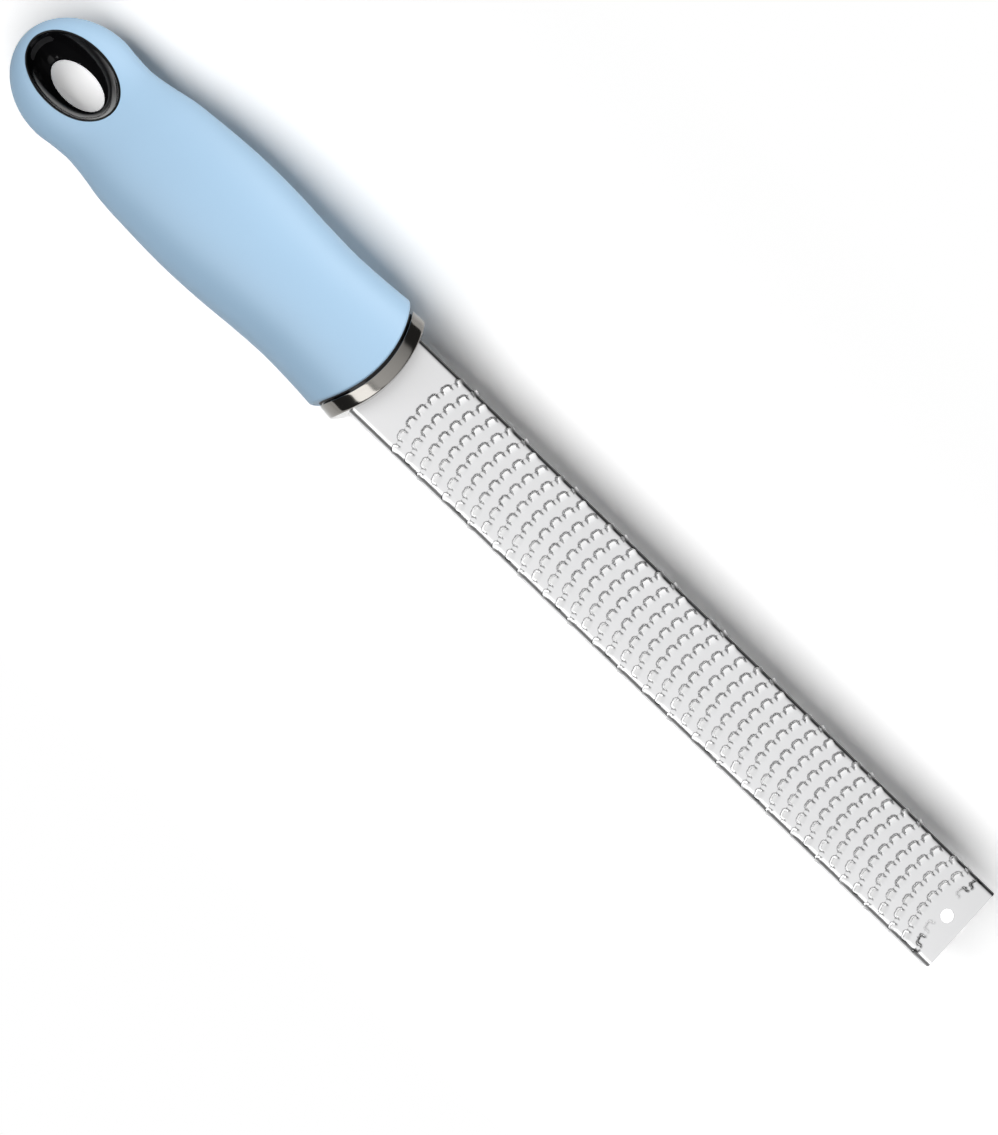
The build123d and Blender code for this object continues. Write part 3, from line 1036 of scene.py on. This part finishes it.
strips = row_count + 2
points, index = count_points(strips * cells_across)
row = web.maths("FLOOR", index / float(cells_across)) - 1
cell = index - (row + 1) * float(cells_across) - float(half_cells)
beat = web.maths("MODULO", row + 4, 4.0)
phase = web.same(beat, 1.0) - web.same(beat, 2.0) + web.same(beat, 3.0) * 2
tooth_start = phase - 2 + web.maths("FLOOR", (cell - phase + 2) / 4) * 4
fits = web.maths("GREATER_THAN", tooth_start, -half_cells - 0.5)
fits = fits * web.maths("LESS_THAN", tooth_start + 4, half_cells + 0.5)
last_row = web.same(row, number["Rows"] - 1)
in_rows = web.maths("GREATER_THAN", row, -0.5) * web.maths("LESS_THAN", row, number["Rows"] - 0.5)
near_hole = last_row * web.maths("LESS_THAN", web.maths("ABSOLUTE", tooth_start + 1), 3.5)
toothed = fits * in_rows * (1 - near_hole)
starts = toothed * web.same(cell, tooth_start)
middle, stretch = row_place(row)
quarter = number["Tile width"] / 4
tooth_place = vector(middle, (tooth_start + 2) * quarter)
blank_place = vector(middle, (cell + 0.5) * quarter)
wall_points, wall_index = count_points(strips * 2)
wall_row = web.maths("FLOOR", wall_index / 2) - 1
wall_side = (wall_index - (wall_row + 1) * 2) * 2 - 1
wall_middle, wall_stretch = row_place(wall_row)
wall_place = vector(wall_middle, wall_side * number["Wrap half width"])
joined = web.node("GeometryNodeJoinGeometry")
for part in (
    lay_tiles(points, "Tooth", tooth_place, starts * (1 - last_row), stretch),
    lay_tiles(points, "Flat tooth", tooth_place, starts * last_row, stretch),
    lay_tiles(points, "Blank", blank_place, 1 - toothed, stretch),
    lay_tiles(wall_points, "Wall", wall_place, True, wall_stretch, (1 - wall_side) * (math.pi / 2)),
):
    tree.links.new(part, joined.inputs[0])
real = web.node("GeometryNodeRealizeInstances", None, {0: joined.outputs[0]})
merged = web.node("GeometryNodeMergeByDistance", None,
                  {"Geometry": real.outputs[0], "Distance": 0.02 * mm})
print("lattice wired:", len(tree.nodes), "nodes")

# %% Curve the rows and wrap the bends
split = web.node("ShaderNodeSeparateXYZ", None, {0: web.node("GeometryNodeInputPosition").outputs[0]})
u, v, lift = (web.value(split.outputs[i]) for i in range(3))
radius = number["Row radius"]
across = web.maths("MINIMUM", web.maths("ABSOLUTE", v), number["Wrap half width"])
sag = radius - web.maths("SQRT", radius * radius - across * across)
last = number["First row"] + number["Rows"] * number["Tile length"]
fade = (web.clamp((u - number["Sheet start"]) / (number["First row"] - number["Sheet start"]))
        * web.clamp((number["Tip"] - u) / (number["Tip"] - last)))
x = u + sag * fade
travel = (u - number["First row"]) / number["Tile length"]
in_rows = web.maths("GREATER_THAN", travel, 0.0) * web.maths("LESS_THAN", travel, number["Rows"])
sway = web.maths("SINE", travel * (2 * math.pi)) * number["Tile length"] / (2 * math.pi)
edge_fade = web.clamp((number["Wrap half width"] - web.maths("ABSOLUTE", v)) / (1.5 * mm))
v = v + sway * web.maths("SINE", v / radius) * edge_fade * in_rows
reach_out = web.maths("ABSOLUTE", v)
side = web.maths("SIGN", v)
flat = number["Flat half width"]
bend = number["Bend radius"]
turned = web.clamp((reach_out - flat) / bend, 0.0, math.pi / 2)
tilt_out = web.maths("SINE", turned)
tilt_up = web.maths("COSINE", turned)
stand = bend + lift * (1 + turned * number["Lift gain"])
y = side * (web.maths("MINIMUM", reach_out, flat) + stand * tilt_out)
drop = web.maths("MAXIMUM", reach_out - flat - bend * (math.pi / 2), 0.0)
z = number["Top"] - bend + stand * tilt_up - drop
shaped = web.node("GeometryNodeSetPosition", None,
                  {"Geometry": merged.outputs[0], "Position": vector(x, y, z)})
finished = web.node("GeometryNodeSetMaterial", None,
                    {"Geometry": shaped.outputs[0], "Material": given.outputs["Finish"]})
web.node("NodeGroupOutput", None, {0: finished.outputs[0]})
print("blade tree:", len(tree.nodes), "nodes")

# %% Make the sheet thick and drill the tip
carrier = make_object("sheet_carrier", bpy.data.meshes.new("sheet_carrier"), [blade_satin])
modifier = carrier.modifiers.new("rasp", "NODES")
modifier.node_group = tree
for name, value in sheet_inputs.items():
    modifier[sheet_sockets[name].identifier] = float(value)
for tile, thing in tile_objects.items():
    modifier[sheet_sockets[tile.replace("_", " ").capitalize()].identifier] = thing
modifier[sheet_sockets["Finish"].identifier] = blade_satin
thick = carrier.modifiers.new("thickness", "SOLIDIFY")
thick.thickness = sheet_thickness
thick.offset = -1

drill_mesh = bpy.data.meshes.new("drill")
shape = bmesh.new()
bmesh.ops.create_cone(shape, cap_ends=True, segments=48, radius1=tip_hole_radius,
                      radius2=tip_hole_radius, depth=4 * mm)
bmesh.ops.translate(shape, vec=tip_hole, verts=shape.verts)
shape.to_mesh(drill_mesh)
shape.free()
drill = make_object("drill", drill_mesh, [blade_satin])
boring = carrier.modifiers.new("tip_hole", "BOOLEAN")
boring.operation = "DIFFERENCE"
boring.solver = "EXACT"
boring.object = drill
blade_mesh = evaluated_mesh(carrier, "rasp_blade")
for thing in [carrier, drill] + list(tile_objects.values()):
    bpy.data.objects.remove(thing)
blade = bpy.data.objects.new("rasp_blade", blade_mesh)
bpy.context.scene.collection.objects.link(blade)
smooth(blade, 35)
blade_mesh.calc_loop_triangles()
print("blade triangles:", len(blade_mesh.loop_triangles))
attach(blade, "root")
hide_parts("blade")
